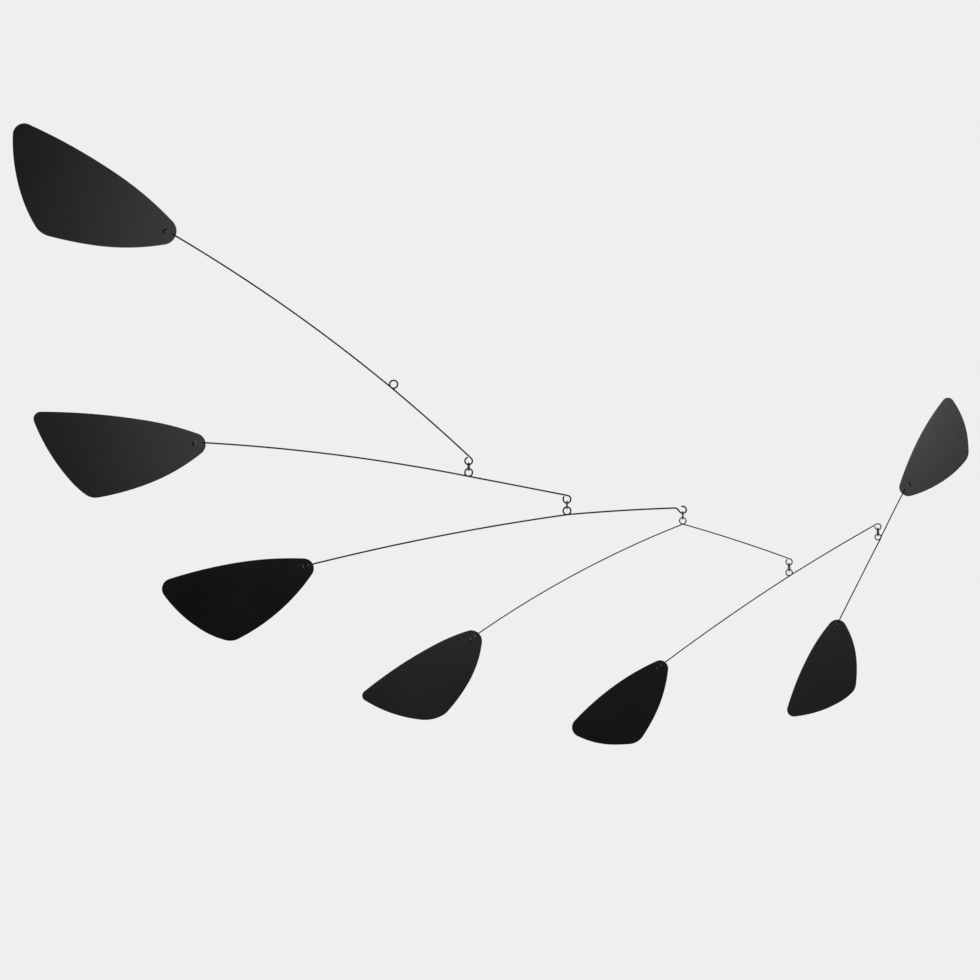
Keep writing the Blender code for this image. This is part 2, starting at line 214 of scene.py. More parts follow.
ARMS = (
    ArmSizes(
        gauge=Gauge.HEAVY,
        loop_radius=0.0040,
        leaf_side=Side(140.4, 0.26395, 9.0),
        leaf=Leaf(
            back=Edge(0.1689, 0.0079, 0.39),
            end=Edge(0.0858, 0.0047, 0.75),
            belly=Edge(0.1095, 0.0055, 0.38),
            radii=(0.0138, 0.0114, 0.0222),
            tilt=4.2,
            twist=1.0,
        ),
        tail_side=Side(-39.9, 0.1070, -3.2),
        tail=Eye(0.0037),
        ring_turn=10.0,
    ),
    ArmSizes(
        gauge=Gauge.HEAVY,
        loop_radius=0.0038,
        leaf_side=Side(168.8, 0.2649, 7.9),
        leaf=Leaf(
            back=Edge(0.1557, 0.0058, 0.32),
            end=Edge(0.0825, 0.0037, 0.80),
            belly=Edge(0.1053, 0.0065, 0.43),
            radii=(0.0114, 0.0073, 0.0172),
            tilt=6.1,
        ),
        tail_side=Side(-10.8, 0.1016, -0.3),
        tail=Eye(0.0038),
        ring_turn=2.0,
    ),
    ArmSizes(
        gauge=Gauge.HEAVY,
        loop_radius=0.0038,
        leaf_side=Side(188.0, 0.2597, 6.0),
        leaf=Leaf(
            back=Edge(0.1327, 0.0059, 0.47),
            end=Edge(0.0667, 0.0048, 0.72),
            belly=Edge(0.0923, 0.0051, 0.33),
            radii=(0.0101, 0.0107, 0.0179),
            tilt=5.1,
            twist=-5.0,
        ),
        tail_side=Side(5.1, 0.1079, -3.2),
        tail=Hook(),
        ring_turn=-3.0,
    ),
    ArmSizes(
        gauge=Gauge.LIGHT,
        loop_radius=0.0032,
        leaf_side=Side(201.5, 0.2332, 13.2),
        leaf=Leaf(
            back=Edge(0.1171, 0.0045, 0.28),
            end=Edge(0.0696, 0.0063, 0.80),
            belly=Edge(0.0707, 0.0056),
            radii=(0.0109, 0.0055, 0.0137),
            tilt=6.9,
            twist=1.5,
        ),
        tail_side=Side(-15.8, 0.1139, -4.4),
        tail=Eye(0.0031),
    ),
    ArmSizes(
        gauge=Gauge.LIGHT,
        loop_radius=0.0031,
        leaf_side=Side(212.7, 0.1528, 4.1),
        leaf=Leaf(
            back=Edge(0.0979, 0.0049, 0.52),
            end=Edge(0.0469, 0.0026, 0.72),
            belly=Edge(0.0665, 0.0030, 0.25),
            radii=(0.0083, 0.0098, 0.0175),
            tilt=-0.1,
            twist=-4.0,
        ),
        tail_side=Side(32.1, 0.0998, -2.7),
        tail=Eye(0.0030),
        ring_turn=-3.0,
    ),
    ArmSizes(
        gauge=Gauge.LIGHT,
        loop_radius=0.0029,
        leaf_side=Side(243.0, 0.0913, 0.5),
        leaf=Leaf(
            back=Edge(0.0922, 0.0045, 0.37),
            end=Edge(0.0549, 0.0030, 0.80),
            belly=Edge(0.0538, 0.0043, 0.40),
            radii=(0.0092, 0.0066, 0.0149),
            tilt=1.7,
            twist=1.0,
        ),
        tail_side=Side(65.0, 0.0495, -2.7),
        tail=Leaf(
            back=Edge(0.0925, 0.0039, 0.44),
            end=Edge(0.0482, 0.0025, 0.78),
            belly=Edge(0.0569, 0.0037, 0.29),
            radii=(0.0091, 0.0059, 0.0154),
            tilt=2.4,
            twist=-4.0,
            hand=Hand.TURNED_OVER,
        ),
    ),
)


# ---- Lines in a plane ----


def direction(degrees: float) -> Vector:
    """The unit vector of a heading in a plane."""
    return Vector((math.cos(math.radians(degrees)), math.sin(math.radians(degrees))))


def heading_of(vector: Vector) -> float:
    """A planar vector's heading in degrees."""
    return math.degrees(math.atan2(vector.y, vector.x))


def arc(centre: Vector, radius: float, start: float, end: float, steps: int) -> list[Vector]:
    """Points on a circular arc, both ends included.

    Args:
        centre: The arc's centre.
        radius: Its radius.
        start: The heading of its first point, in degrees.
        end: The heading of its last point.
        steps: How many chords it is cut into.

    Returns:
        The points in order.
    """
    sweep = end - start
    return [centre + radius * direction(start + sweep * i / steps) for i in range(steps + 1)]


def run(start: Vector, side: Side, steps: int, crowding: float = 1.0) -> list[Vector]:
    """Points along a wire that leaves a point and turns evenly over its length.

    Args:
        start: Where the wire starts.
        side: Its first heading, its length and its turn.
        steps: How many chords it is cut into.
        crowding: Above 1, the points crowd towards the start.

    Returns:
        The points in order.
    """
    points = []
    for i in range(steps + 1):
        distance = side.length * (i / steps) ** crowding
        half_turn = 0.5 * side.turn * distance / side.length
        sweep = math.radians(half_turn)
        chord = distance if abs(sweep) < STRAIGHT else distance * math.sin(sweep) / sweep
        points.append(start + chord * direction(side.heading + half_turn))
    return points


def in_space(points: Sequence[Vector]) -> list[Vector]:
    """Planar points as points in space, in the XZ plane."""
    return [Vector((point.x, 0.0, point.y)) for point in points]


# ---- Node trees ----


class Number:
    """A number-valued socket that takes part in Python's arithmetic."""

    def __init__(self, graph: "Graph", socket: NodeSocket) -> None:
        """Wrap one output socket of a graph."""
        self.graph = graph
        self.socket = socket

    def __add__(self, other: "Number | float") -> "Number":
        """This plus the other."""
        return self.graph.math("ADD", self, other)

    def __sub__(self, other: "Number | float") -> "Number":
        """This less the other."""
        return self.graph.math("SUBTRACT", self, other)

    def __rsub__(self, other: "Number | float") -> "Number":
        """The other less this."""
        return self.graph.math("SUBTRACT", other, self)

    def __mul__(self, other: "Number | float") -> "Number":
        """This times the other."""
        return self.graph.math("MULTIPLY", self, other)

    def __truediv__(self, other: "Number | float") -> "Number":
        """This over the other."""
        return self.graph.math("DIVIDE", self, other)

    def __rtruediv__(self, other: "Number | float") -> "Number":
        """The other over this."""
        return self.graph.math("DIVIDE", other, self)

    __radd__ = __add__
    __rmul__ = __mul__

    def clamped(self) -> "Number":
        """This, held between 0 and 1."""
        return self.graph.math("ADD", self, 0.0, clamp=True)


class Graph:
    """Adds nodes to one shader or geometry tree."""

    def __init__(self, tree: NodeTree) -> None:
        """Work on a tree, which starts empty."""
        self.tree = tree
        tree.nodes.clear()

    @staticmethod
    def find(sockets: Any, key: str | int) -> NodeSocket:
        """Find a socket by its identifier, its name or its number, tried in that order.

        Args:
            sockets: A node's inputs or outputs.
            key: The identifier, name or number.

        Returns:
            The socket.
        """
        for socket in sockets:
            if socket.identifier == key:
                return socket
        return sockets[key]

    def feed(self, socket: NodeSocket, value: Any) -> None:
        """Link a value to a socket, or set it there if it is a constant.

        Args:
            socket: The input that takes the value.
            value: A number or socket to link, or a constant.
        """
        if isinstance(value, Number):
            value = value.socket
        if isinstance(value, NodeSocket):
            self.tree.links.new(value, socket)
        else:
            socket.default_value = value

    def node(
        self,
        kind: str,
        settings: dict[str, Any] | None = None,
        inputs: dict[str | int, Any] | None = None,
    ) -> Node:
        """Add a node.

        Args:
            kind: The node's type.
            settings: Its properties, set first.
            inputs: A value or a link for each of its sockets.

        Returns:
            The node.
        """
        node = self.tree.nodes.new(kind)
        for name, value in (settings or {}).items():
            setattr(node, name, value)
        for key, value in (inputs or {}).items():
            self.feed(self.find(node.inputs, key), value)
        return node

    def out(self, node: Node, key: str | int = 0) -> NodeSocket:
        """An output socket of a node."""
        return self.find(node.outputs, key)

    def number(self, node: Node, key: str | int = 0) -> Number:
        """An output socket of a node, ready for arithmetic."""
        return Number(self, self.out(node, key))

    def math(self, operation: str, *values: Number | float, clamp: bool = False) -> Number:
        """The result of a Math node."""
        settings = {"operation": operation, "use_clamp": clamp}
        return self.number(self.node("ShaderNodeMath", settings, dict(enumerate(values))))

    def vector(self, operation: str, *values: Any) -> Node:
        """A Vector Math node."""
        settings = {"operation": operation}
        return self.node("ShaderNodeVectorMath", settings, dict(enumerate(values)))

    def place(self) -> NodeSocket:
        """The place on the object, in Object coordinates."""
        return self.out(self.node("ShaderNodeTexCoord"), "Object")

    def attribute(self, name: str) -> Node:
        """The node that reads one of the mesh's own attributes."""
        return self.node("ShaderNodeAttribute", {"attribute_name": name})

    def noise(self, where: Any, scale: float, detail: float) -> Number:
        """Noise from 0 to 1 at a place."""
        inputs = {"Vector": where, "Scale": scale, "Detail": detail}
        return self.number(self.node("ShaderNodeTexNoise", None, inputs), "Fac")

    def ramp(self, value: Number, limits: tuple[float, float]) -> Number:
        """Rise smoothly from 0 to 1.

        Args:
            value: What the rise follows.
            limits: The values up to which it is 0 and from which it is 1.

        Returns:
            The share from 0 to 1.
        """
        settings = {"interpolation_type": "SMOOTHSTEP"}
        inputs = {"Value": value, "From Min": limits[0], "From Max": limits[1]}
        return self.number(self.node("ShaderNodeMapRange", settings, inputs))

    def bump(self, height: Number) -> NodeSocket:
        """The normal of a surface that stands proud by a height in metres."""
        inputs = {"Strength": 1.0, "Distance": 1.0, "Height": height}
        return self.out(self.node("ShaderNodeBump", None, inputs))

    def principled(self, inputs: dict[str | int, Any]) -> NodeSocket:
        """A Principled shader with some of its inputs set."""
        return self.out(self.node("ShaderNodeBsdfPrincipled", None, inputs))

    def mix(self, share: Number | float, first: Any, second: Any) -> NodeSocket:
        """A colour between two others."""
        inputs = {"Factor_Float": share, "A_Color": first, "B_Color": second}
        return self.out(self.node("ShaderNodeMix", {"data_type": "RGBA"}, inputs), "Result_Color")


def grey(red: float, green: float | None = None, blue: float | None = None) -> tuple[float, ...]:
    """An opaque colour, neutral if only one value is given."""
    return (red, red if green is None else green, red if blue is None else blue, 1.0)


# ---- Finishes ----


@dataclass(frozen=True)
class Finish:
    """A procedural material: what the trees of all of them start and end with."""

    name: str

    def surface(self, graph: Graph) -> NodeSocket:
        """Add the finish's own nodes and give its shader."""
        raise NotImplementedError

    def material(self) -> Material:
        """Build the finish as a material.

        Returns:
            The material.
        """
        material = bpy.data.materials.new(self.name)
        material.use_nodes = True
        graph = Graph(material.node_tree)
        graph.node("ShaderNodeOutputMaterial", None, {"Surface": self.surface(graph)})
        return material


@dataclass(frozen=True)
class SatinSheet(Finish):
    """Satin black sheet with a fine pebbled grain, faint scuffs and edges rubbed lighter.

    It reads the sheet's edge_rub attribute.  Scales are repeats to the metre, and spreads are how
    far the roughness follows each pattern.  Limits are where a noise starts to show and where it
    shows in full, and scuff shift moves each set of scuffs by its heading, so that they differ.
    """

    name: str = "satin_black_sheet"
    colour: tuple[float, ...] = grey(0.0028, 0.0028, 0.0030)
    clouded: tuple[float, ...] = grey(0.0042, 0.0042, 0.0044)
    rubbed: tuple[float, ...] = grey(0.030, 0.030, 0.032)
    roughness: float = 0.26
    grain_spread: float = 0.08
    cloud_spread: float = 0.05
    scuff_polish: float = 0.06
    edge_polish: float = 0.05
    ior: float = 1.46
    grain_scale: float = 1500.0
    cloud_scale: float = 22.0
    cloud_limits: tuple[float, float] = (0.35, 0.65)
    rub_limits: tuple[float, float] = (0.75, 1.25)
    ripple_scale: float = 14.0
    ripple_height: float = 0.00006
    grain_height: float = 0.000010
    scuff_headings: tuple[float, ...] = (24.0, 71.0, 128.0)
    scuff_shift: float = 0.01
    scuff_size: tuple[float, float, float] = (0.030, 0.030, 0.0007)
    scuff_limits: tuple[float, float] = (0.61, 0.79)
    scuff_height: float = 0.000002

    def scuffs(self, graph: Graph, place: Any) -> Number:
        """Long faint marks that lie in a few directions across the sheet.

        Args:
            graph: The material's tree.
            place: The place on the sheet.

        Returns:
            0 on clean sheet and up to 1 in the middle of a mark.
        """
        marks = []
        for heading in self.scuff_headings:
            inputs = {
                "Vector": place,
                "Location": (self.scuff_shift * heading, 0.0, 0.0),
                "Rotation": (0.0, math.radians(heading), 0.0),
                "Scale": self.scuff_size,
            }
            along = graph.out(graph.node("ShaderNodeMapping", {"vector_type": "TEXTURE"}, inputs))
            marks.append(graph.ramp(graph.noise(along, scale=1.0, detail=2.0), self.scuff_limits))
        return reduce(partial(graph.math, "MAXIMUM"), marks)

    def surface(self, graph: Graph) -> NodeSocket:
        """Add the sheet's nodes.

        Args:
            graph: The material's tree.

        Returns:
            The sheet's shader.
        """
        place = graph.place()
        grain = graph.noise(place, self.grain_scale, detail=3.0)
        cloud = graph.noise(place, self.cloud_scale, detail=2.0)
        ripple = graph.noise(place, self.ripple_scale, detail=1.0)
        scuffs = self.scuffs(graph, place)
        edge = graph.number(graph.attribute("edge_rub"), "Fac")
        rub = edge * graph.ramp(grain + cloud, self.rub_limits)
        face = graph.mix(graph.ramp(cloud, self.cloud_limits), self.colour, self.clouded)
        roughness = (
            self.roughness
            + self.grain_spread * (grain - 0.5)
            + self.cloud_spread * (cloud - 0.5)
            - self.scuff_polish * scuffs
            - self.edge_polish * edge
        )
        height = (
            ripple * self.ripple_height
            + grain * self.grain_height
            - scuffs * self.scuff_height
        )
        inputs = {
            "Base Color": graph.mix(rub, face, self.rubbed),
            "Roughness": roughness,
            "IOR": self.ior,
            "Normal": graph.bump(height),
        }
        return graph.principled(inputs)


@dataclass(frozen=True)
class DrawnWire(Finish):
    """Bare steel wire with the fine lengthwise lines of drawing and a patchy dull patina.

    It reads the wire's around and along attributes.  Line stretch is how fast the pattern of
    lines changes along the wire, as a share of how fast it changes around it.
    """

    bright: tuple[float, ...]
    dull: tuple[float, ...]
    roughness: float
    line_spread: float = 0.10
    patina_spread: float = 0.12
    line_scale: float = 9000.0
    line_stretch: float = 0.006
    line_dulling: float = 0.4
    line_height: float = 0.000006
    patina_scale: float = 45.0
    patina_limits: tuple[float, float] = (0.38, 0.68)

    def surface(self, graph: Graph) -> NodeSocket:
        """Add the wire's nodes.

        Args:
            graph: The material's tree.

        Returns:
            The wire's shader.
        """
        around = graph.out(graph.attribute("around"), "Vector")
        along = graph.number(graph.attribute("along"), "Fac")
        lift = graph.node("ShaderNodeCombineXYZ", None, {"Z": along * self.line_stretch})
        drawn = graph.out(graph.vector("ADD", around, graph.out(lift)))
        lines = graph.noise(drawn, self.line_scale, detail=3.0)
        cloud = graph.noise(graph.place(), self.patina_scale, detail=4.0)
        patina = graph.ramp(cloud, self.patina_limits)
        roughness = self.roughness + self.line_spread * (lines - 0.5) + self.patina_spread * patina
        dulled = (patina + self.line_dulling * lines).clamped()
        inputs = {
            "Base Color": graph.mix(dulled, self.bright, self.dull),
            "Roughness": roughness,
            "Metallic": 1.0,
            "Normal": graph.bump(lines * self.line_height),
        }
        return graph.principled(inputs)


@dataclass(frozen=True)
class PaleFloor(Finish):
    """Pale matt floor that fades out towards its rim."""

    name: str = "pale_floor"
    colour: tuple[float, ...] = grey(0.82)
    roughness: float = 0.9
    fade_limits: tuple[float, float] = (1.2, 2.2)

    def surface(self, graph: Graph) -> NodeSocket:
        """Add the floor's nodes.

        Args:
            graph: The material's tree.

        Returns:
            The floor's shader.
        """
        reach = graph.number(graph.vector("LENGTH", graph.place()), "Value")
        fade = graph.ramp(reach, self.fade_limits)
        shader = graph.principled({"Base Color": self.colour, "Roughness": self.roughness})
        clear = graph.out(graph.node("ShaderNodeBsdfTransparent"))
        return graph.out(graph.node("ShaderNodeMixShader", None, {0: fade, 1: shader, 2: clear}))


SHEET_FINISH = SatinSheet()
WIRE_FINISH = DrawnWire(
    name="spring_steel_wire",
    bright=grey(0.06, 0.06, 0.063),
    dull=grey(0.028, 0.028, 0.030),
    roughness=0.30,
)
RING_FINISH = DrawnWire(
    name="link_ring_steel",
    bright=grey(0.20, 0.20, 0.21),
    dull=grey(0.06, 0.06, 0.065),
    roughness=0.26,
)


# ---- Geometry trees ----


def add_object(name: str, data: ID) -> Object:
    """Add an object to the scene.

    Args:
        name: The object's name.
        data: Its mesh, light or camera.

    Returns:
        The object.
    """
    added = bpy.data.objects.new(name, data)
    bpy.context.scene.collection.objects.link(added)
    return added


class Socket(Enum):
    """The kinds of input that the geometry trees take."""

    GEOMETRY = "NodeSocketGeometry"
    LENGTH = "NodeSocketFloat"
    COUNT = "NodeSocketInt"
    FINISH = "NodeSocketMaterial"


class GeometryTree:
    """A geometry tree with named inputs, run once on an object to give a plain mesh."""

    name = "geometry"
    wanted: dict[str, Socket] = {}

    def __init__(self) -> None:
        """Build the tree with its sockets."""
        self.tree = bpy.data.node_groups.new(self.name, "GeometryNodeTree")
        self.graph = Graph(self.tree)
        interface = self.tree.interface
        interface.new_socket("Geometry", in_out="OUTPUT", socket_type=Socket.GEOMETRY.value)
        self.sockets = {
            name: interface.new_socket(name, in_out="INPUT", socket_type=kind.value)
            for name, kind in self.wanted.items()
        }
        self.entry = self.graph.node("NodeGroupInput")
        self.build()

    def build(self) -> None:
        """Add the tree's own nodes."""
        raise NotImplementedError

    def given(self, name: str) -> NodeSocket:
        """The socket inside the tree that an input arrives at."""
        return self.graph.out(self.entry, name)

    def amount(self, name: str) -> Number:
        """A numeric input inside the tree, ready for arithmetic."""
        return Number(self.graph, self.given(name))

    def swept(self, path: Any, taper: Any) -> NodeSocket:
        """Sweep round wire along a path, and store the place around it and the length along it.

        The tree's inputs Gauge and Sides give the wire's diameter and the sides of its section.

        Args:
            path: The curve.
            taper: The share of the gauge at each point.

        Returns:
            The wire's mesh.
        """
        graph = self.graph
        inputs = {"Resolution": self.given("Sides"), "Radius": self.amount("Gauge") * 0.5}
        circle = graph.out(graph.node("GeometryNodeCurvePrimitiveCircle", None, inputs))
        spot = graph.out(graph.node("GeometryNodeInputPosition"))
        length = graph.out(graph.node("GeometryNodeSplineParameter"), "Length")
        inputs = {
            "Curve": self.stored(path, "along", "FLOAT", length),
            "Profile Curve": self.stored(circle, "around", "FLOAT_VECTOR", spot),
            "Scale": taper,
            "Fill Caps": True,
        }
        return graph.out(graph.node("GeometryNodeCurveToMesh", None, inputs))

    def stored(self, geometry: Any, name: str, kind: str, value: Any) -> NodeSocket:
        """Keep a value on the points of some geometry.

        Args:
            geometry: The geometry.
            name: The attribute's name.
            kind: The attribute's data type.
            value: The value at each point.

        Returns:
            The geometry with the attribute on it.
        """
        settings = {"data_type": kind, "domain": "POINT"}
        inputs = {"Geometry": geometry, "Name": name, "Value": value}
        return self.graph.out(self.graph.node("GeometryNodeStoreNamedAttribute", settings, inputs))

    def finish(self, mesh: Any) -> None:
        """End the tree: realize what it made and give it its finish.

        Args:
            mesh: What the tree made.
        """
        graph = self.graph
        real = graph.node("GeometryNodeRealizeInstances", None, {"Geometry": mesh})
        inputs = {"Geometry": graph.out(real), "Material": self.given("Finish")}
        dressed = graph.node("GeometryNodeSetMaterial", None, inputs)
        graph.node("NodeGroupOutput", None, {"Geometry": graph.out(dressed)})

    def apply(self, name: str, source: Mesh, values: dict[str, Any]) -> Object:
        """Run the tree on a mesh and keep the result as an object of its own.

        Args:
            name: The finished object's name.
            source: What the tree starts from.
            values: A value for each named input but the geometry.

        Returns:
            The finished object, with no modifier on it.
        """
        carrier = add_object(f"{name}_path", source)
        modifier = carrier.modifiers.new("tree", "NODES")
        modifier.node_group = self.tree
        for key, value in values.items():
            modifier[self.sockets[key].identifier] = value
        graph = bpy.context.evaluated_depsgraph_get()
        mesh = bpy.data.meshes.new_from_object(carrier.evaluated_get(graph), depsgraph=graph)
        mesh.name = name
        bpy.data.objects.remove(carrier)
        return add_object(name, mesh)


class WireSweep(GeometryTree):
    """Round wire along a line of edges, thinner where the line's taper attribute says so."""

    name = "wire_sweep"
    wanted = {
        "Path": Socket.GEOMETRY,
        "Gauge": Socket.LENGTH,
        "Sides": Socket.COUNT,
        "Finish": Socket.FINISH,
    }

    def build(self) -> None:
        """Turn the edges into a curve and sweep the wire along it."""
        graph = self.graph
        curve = graph.node("GeometryNodeMeshToCurve", None, {"Mesh": self.given("Path")})
        settings, inputs = {"data_type": "FLOAT"}, {"Name": "taper"}
        taper = graph.out(graph.node("GeometryNodeInputNamedAttribute", settings, inputs))
        self.finish(self.swept(graph.out(curve), taper))


class RingSweep(GeometryTree):
    """A split ring at each point of the source: one turn of wire that all but closes.

    The split's two cut ends stand a little apart and a little out of line.
    """

    name = "ring_sweep"
    wanted = {
        "Centres": Socket.GEOMETRY,
        **dict.fromkeys(("Radius", "Gauge", "Split", "Offset", "Start", "Turn"), Socket.LENGTH),
        **dict.fromkeys(("Sides", "Steps"), Socket.COUNT),
        "Finish": Socket.FINISH,
    }

    def build(self) -> None:
        """Sweep the wire round an open arc and set a copy on each point."""
        graph = self.graph
        radius = self.amount("Radius")
        split = self.amount("Split") / radius
        inputs = {
            "Resolution": self.given("Steps"),
            "Radius": radius,
            "Start Angle": self.given("Start"),
            "Sweep Angle": math.tau - split,
        }
        turn = graph.node("GeometryNodeCurveArc", {"mode": "RADIUS"}, inputs)
        factor = graph.number(graph.node("GeometryNodeSplineParameter"), "Factor")
        lean = (factor - 0.5) * self.amount("Offset")
        shift = graph.node("ShaderNodeCombineXYZ", None, {"Z": lean})
        inputs = {"Geometry": graph.out(turn), "Offset": graph.out(shift)}
        bent = graph.node("GeometryNodeSetPosition", None, inputs)
        ring = self.swept(graph.out(bent), 1.0)
        inputs = {"Y": 0.5 * math.pi, "Z": self.given("Turn")}
        facing = graph.node("ShaderNodeCombineXYZ", None, inputs)
        inputs = {
            "Points": self.given("Centres"),
            "Instance": ring,
            "Rotation": graph.out(facing),
        }
        self.finish(graph.out(graph.node("GeometryNodeInstanceOnPoints", None, inputs)))


# ---- Pieces ----


@dataclass
class LeafSheet:
    """One leaf: a die-cut sheet with eased edges and the two holes for its wire.

    Support is the width of the flat strip inside each eased edge, which keeps the faces flat in
    shading.  Edge steps are those of each of the two arcs in the back, the end and the belly.
    """

    name: str
    sizes: Leaf
    gauge: float
    place: Matrix
    stock: Stock = Stock()
    thread: Thread = Thread()
    edge_radius: float = 0.00020
    hole_edge_radius: float = 0.00015
    ease_steps: int = 4
    support: float = 0.00025
    corner_steps: int = 20
    edge_steps: tuple[int, int, int] = (24, 16, 18)
    hole_steps: int = 28

    def corners(self) -> tuple[Vector, Vector, Vector]:
        """Find the centres of the corners of the leaf as cut, in its own frame.

        Returns:
            The centres of the tip, heel and toe.
        """
        sizes = self.sizes
        reach = math.sqrt(sizes.radii[0] ** 2 - self.thread.tip_offset**2)
        tip = Vector((reach, -self.thread.tip_offset))
        back, end, belly = sizes.back.length, sizes.end.length, sizes.belly.length
        apex = math.degrees(math.acos((back**2 + belly**2 - end**2) / (2.0 * back * belly)))
        heel = tip + back * direction(sizes.tilt)
        return tip, heel, tip + belly * direction(sizes.tilt - apex)

    @staticmethod
    def edge_arcs(
        edge: Edge, start: Vector, end: Vector, start_radius: float, end_radius: float
    ) -> tuple[Vector, Vector, Vector]:
        """The two arcs of an edge, which meet where it is fullest, parallel to the corners' line.

        Args:
            edge: The edge's length, bow and fullest place.
            start: The first corner's centre.
            end: The second corner's centre.
            start_radius: The first corner's radius.
            end_radius: The second corner's radius.

        Returns:
            The point where they meet and the two arcs' centres.
        """
        chord = end - start
        unit = chord.normalized()
        outward = Vector((-unit.y, unit.x))
        swell = edge.bow + start_radius + edge.full * (end_radius - start_radius)
        fullest = start + edge.full * chord + swell * outward
        centres = []
        for share, corner_radius in ((edge.full, start_radius), (1.0 - edge.full, end_radius)):
            reach = share * chord.length
            radius = (reach**2 + swell**2 - corner_radius**2) / (2.0 * (swell - corner_radius))
            centres.append(fullest - radius * outward)
        return fullest, centres[0], centres[1]

    @staticmethod
    def touch(corner: Vector, radius: float, edge_centre: Vector) -> Vector:
        """The point where a corner's arc passes into the edge arc with a given centre."""
        return corner + radius * (corner - edge_centre).normalized()

    def outline(self) -> list[tuple[Vector, Vector]]:
        """The leaf's outline in its own frame, clockwise round the tip, heel and toe as cut.

        Returns:
            Each point with the outward direction there.
        """
        corners = self.corners()
        sizes, radii = self.sizes, self.sizes.radii
        edges = []
        for i, edge in enumerate((sizes.back, sizes.end, sizes.belly)):
            j = (i + 1) % 3
            edges.append(self.edge_arcs(edge, corners[i], corners[j], radii[i], radii[j]))
        hand = sizes.hand.value
        outline: list[tuple[Vector, Vector]] = []
        for i in range(3):
            j = (i + 1) % 3
            fullest, first_centre, second_centre = edges[i]
            arrive = self.touch(corners[i], radii[i], edges[i - 1][2])
            leave = self.touch(corners[i], radii[i], first_centre)
            finish = self.touch(corners[j], radii[j], second_centre)
            for centre, start, stop, steps in (
                (corners[i], arrive, leave, self.corner_steps),
                (first_centre, leave, fullest, self.edge_steps[i]),
                (second_centre, fullest, finish, self.edge_steps[i]),
            ):
                first = heading_of(start - centre)
                sweep = (first - heading_of(stop - centre)) % 360.0
                radius = (start - centre).length
                for point in arc(centre, radius, first, first - sweep, steps)[:-1]:
                    out = (point - centre).normalized()
                    point, out = (Vector((vector.x, vector.y * hand)) for vector in (point, out))
                    outline.append((point, out))
        return outline

    def edge_profile(self, ease: float) -> list[tuple[float, float]]:
        """The section of the sheet's edge from the front face to the back face.

        Args:
            ease: The radius that the two edges are eased to.

        Returns:
            Stations as the distance in from the edge and the depth from the front face.
        """
        front = [(ease + self.support, 0.0)]
        for i in range(self.ease_steps + 1):
            angle = 0.5 * math.pi * i / self.ease_steps
            front.append((ease * (1.0 - math.sin(angle)), ease * (1.0 - math.cos(angle))))
        back = [(inset, self.stock.sheet - depth) for inset, depth in reversed(front)]
        return front + back

    def add_edge(
        self, mesh: bmesh.types.BMesh, loop: Sequence[tuple[Vector, Vector]], ease: float
    ) -> tuple[list[bmesh.types.BMEdge], list[bmesh.types.BMEdge]]:
        """Add the wall of the outline or of a hole.

        Args:
            mesh: The mesh to add to.
            loop: Points of the cut, each with its direction out of the sheet.
            ease: The radius that its two edges are eased to.

        Returns:
            The wall's edges in the front face and in the back face.
        """
        rub = mesh.verts.layers.float["edge_rub"]
        rows = []
        for inset, depth in self.edge_profile(ease):
            row = []
            for point, out in loop:
                inner = point - inset * out
                vertex = mesh.verts.new((inner.x, inner.y, depth))
                vertex[rub] = 1.0 if inset < 0.5 * ease else 0.0
                row.append(vertex)
            rows.append(row)
        count = len(loop)
        for upper, lower in zip(rows, rows[1:]):
            for i in range(count):
                j = (i + 1) % count
                mesh.faces.new((upper[i], upper[j], lower[j], lower[i]))
        edges = []
        for row in (rows[0], rows[-1]):
            edges.append([mesh.edges.get((row[i], row[(i + 1) % count])) for i in range(count)])
        return edges[0], edges[1]

    def build(self, finish: Material) -> Object:
        """Build the leaf in place.

        Args:
            finish: The sheet's material.

        Returns:
            The leaf's object, at the origin with its place in its mesh.
        """
        mesh = bmesh.new()
        mesh.verts.layers.float.new("edge_rub")
        front, back = self.add_edge(mesh, self.outline(), self.edge_radius)
        bore = 0.5 * self.gauge + self.stock.hole_play
        for distance in (self.thread.first_hole, self.thread.second_hole):
            centre = Vector((distance, 0.0))
            ring = arc(centre, bore, 0.0, 360.0, self.hole_steps)[:-1]
            loop = [(point, (centre - point).normalized()) for point in ring]
            hole_front, hole_back = self.add_edge(mesh, loop, self.hole_edge_radius)
            front = front + hole_front
            back = back + hole_back
        for edges in (front, back):
            bmesh.ops.triangle_fill(mesh, use_beauty=True, edges=edges)
        bmesh.ops.recalc_face_normals(mesh, faces=mesh.faces[:])
        depth = 0.5 * self.gauge + self.stock.contact_gap
        mesh.transform(self.place @ Matrix.Translation((0.0, 0.0, depth)))
        data = bpy.data.meshes.new(self.name)
        mesh.to_mesh(data)
        mesh.free()
        data.shade_smooth()
        data.materials.append(finish)
        return add_object(self.name, data)


